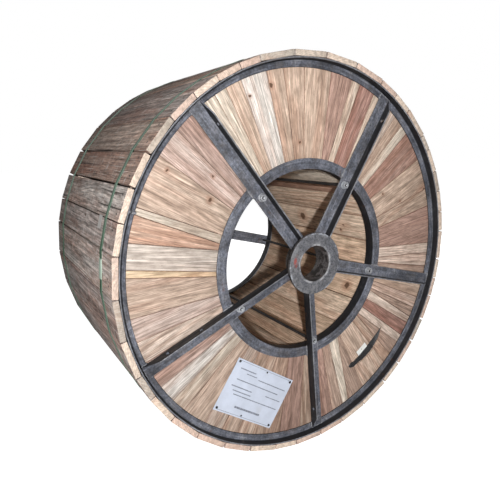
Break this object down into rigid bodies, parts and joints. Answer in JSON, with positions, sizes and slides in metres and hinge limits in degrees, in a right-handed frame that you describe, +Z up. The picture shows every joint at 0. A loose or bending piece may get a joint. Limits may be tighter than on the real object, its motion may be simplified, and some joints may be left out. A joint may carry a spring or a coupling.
{
  "type": "cable drum",
  "caption": "Full cable drum on its rim: angle-iron flange frames with hubs and spokes, radial boards, stave barrel, plank lagging and straps.",
  "frame": {"origin": "on the floor, below the middle of the drum's box", "axes": "+Z up, +Y along the arbor axis from the front flange to the back flange, +X to the right seen from the front"},
  "size_m": [1.2395, 0.74, 1.2369],
  "materials": {
    "frame_steel": "worn dark grey paint on hot-rolled angle iron, scuffed along its edges",
    "hub_steel": "rough grey turned ring, scraped bright around the bore",
    "flange_wood": "sawn softwood and hardwood boards of mixed tones, from cream to reddish brown",
    "barrel_wood": "sawn tan staves with knots and dark joints",
    "lagging_wood": "weathered grey-brown sawn planks with fresh pale ends",
    "cable_jacket": "black polyethylene cable jacket",
    "strap_plastic": "embossed green polyester strapping",
    "rod_steel": "dark drawn steel rod with threaded ends",
    "zinc_plate": "dull zinc plating",
    "tag_plastic": "plain white tag",
    "label_paper": "white printed sheet, left without wording"
  },
  "bodies": {
    "root": {"front_outer_ring": "frame_steel", "front_inner_ring": "frame_steel", "front_hub": "hub_steel", "front_spoke_1": "frame_steel", "front_boards_1": "flange_wood", "front_spoke_2": "frame_steel", "front_boards_2": "flange_wood", "front_spoke_3": "frame_steel", "front_boards_3": "flange_wood", "front_spoke_4": "frame_steel", "front_boards_4": "flange_wood", "front_spoke_5": "frame_steel", "front_boards_5": "flange_wood", "back_outer_ring": "frame_steel", "back_inner_ring": "frame_steel", "back_hub": "hub_steel", "back_spoke_1": "frame_steel", "back_boards_1": "flange_wood", "back_spoke_2": "frame_steel", "back_boards_2": "flange_wood", "back_spoke_3": "frame_steel", "back_boards_3": "flange_wood", "back_spoke_4": "frame_steel", "back_boards_4": "flange_wood", "back_spoke_5": "frame_steel", "back_boards_5": "flange_wood", "spoke_gusset": "frame_steel", "barrel_staves": "barrel_wood", "cable_winding": "cable_jacket", "lagging_planks": "lagging_wood", "front_strap": "strap_plastic", "back_strap": "strap_plastic", "tie_rods": "rod_steel", "tie_rod_nuts": "zinc_plate", "tie_rod_washers": "zinc_plate", "cable_end": "cable_jacket", "cable_tag": "tag_plastic", "label_sheet": "label_paper"}
  },
  "joints": []
}
